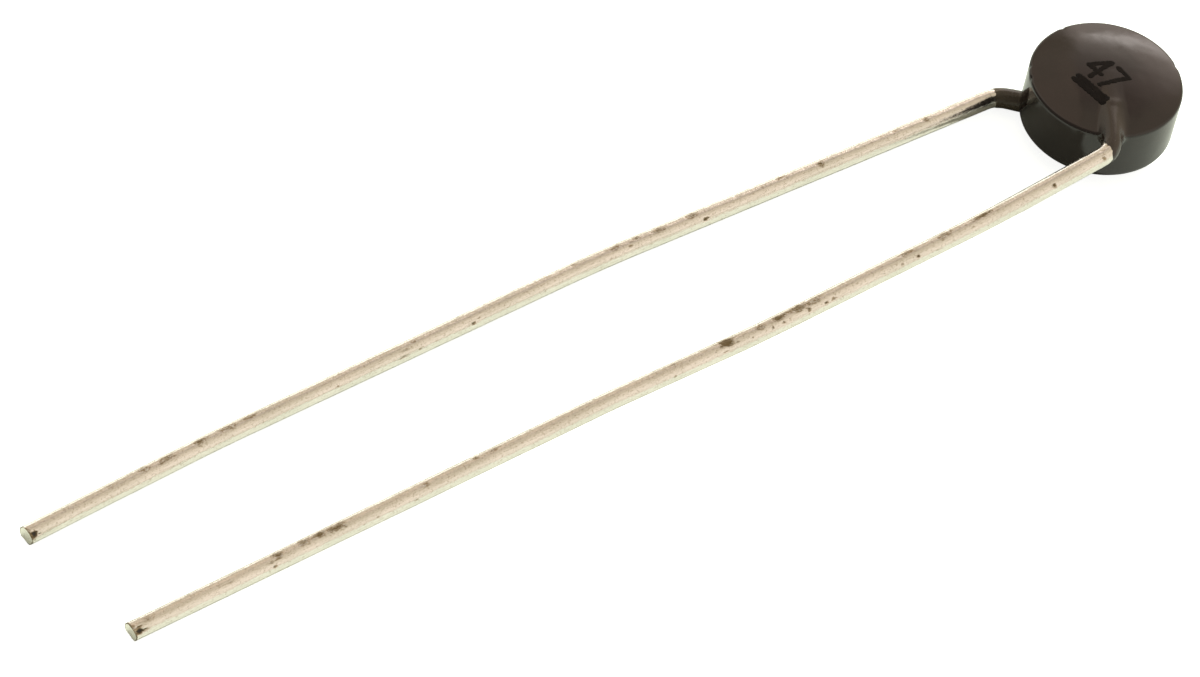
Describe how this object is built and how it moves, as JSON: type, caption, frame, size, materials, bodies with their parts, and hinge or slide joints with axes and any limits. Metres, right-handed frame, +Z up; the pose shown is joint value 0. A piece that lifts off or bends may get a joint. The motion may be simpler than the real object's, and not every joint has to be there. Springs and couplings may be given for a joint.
{
  "type": "ntc thermistor",
  "caption": "Small lacquered ceramic disc with stiff tinned wire leads soldered to its faces, splayed in a V, then bent to run side by side; its resistance falls as it warms.",
  "frame": {"origin": "centre of the component's plan, on the surface it lies on", "axes": "+Z up, along the disc axis; the leads run along -X to their tips and the disc is at the +X end; +Y towards the lead soldered to the underside of the disc"},
  "size_m": [0.0405, 0.0061, 0.0027],
  "materials": {
    "thermistor_ceramic": "matte",
    "silver": "satin",
    "tinned_wire": "satin",
    "solder": "satin",
    "lacquer": "gloss"
  },
  "bodies": {
    "root": {"ceramic_disc": "thermistor_ceramic", "back_electrode": "silver", "front_electrode": "silver", "back_lead": "tinned_wire", "front_lead": "tinned_wire", "back_solder": "solder", "front_solder": "solder", "lacquer_coat": "lacquer"}
  },
  "joints": []
}
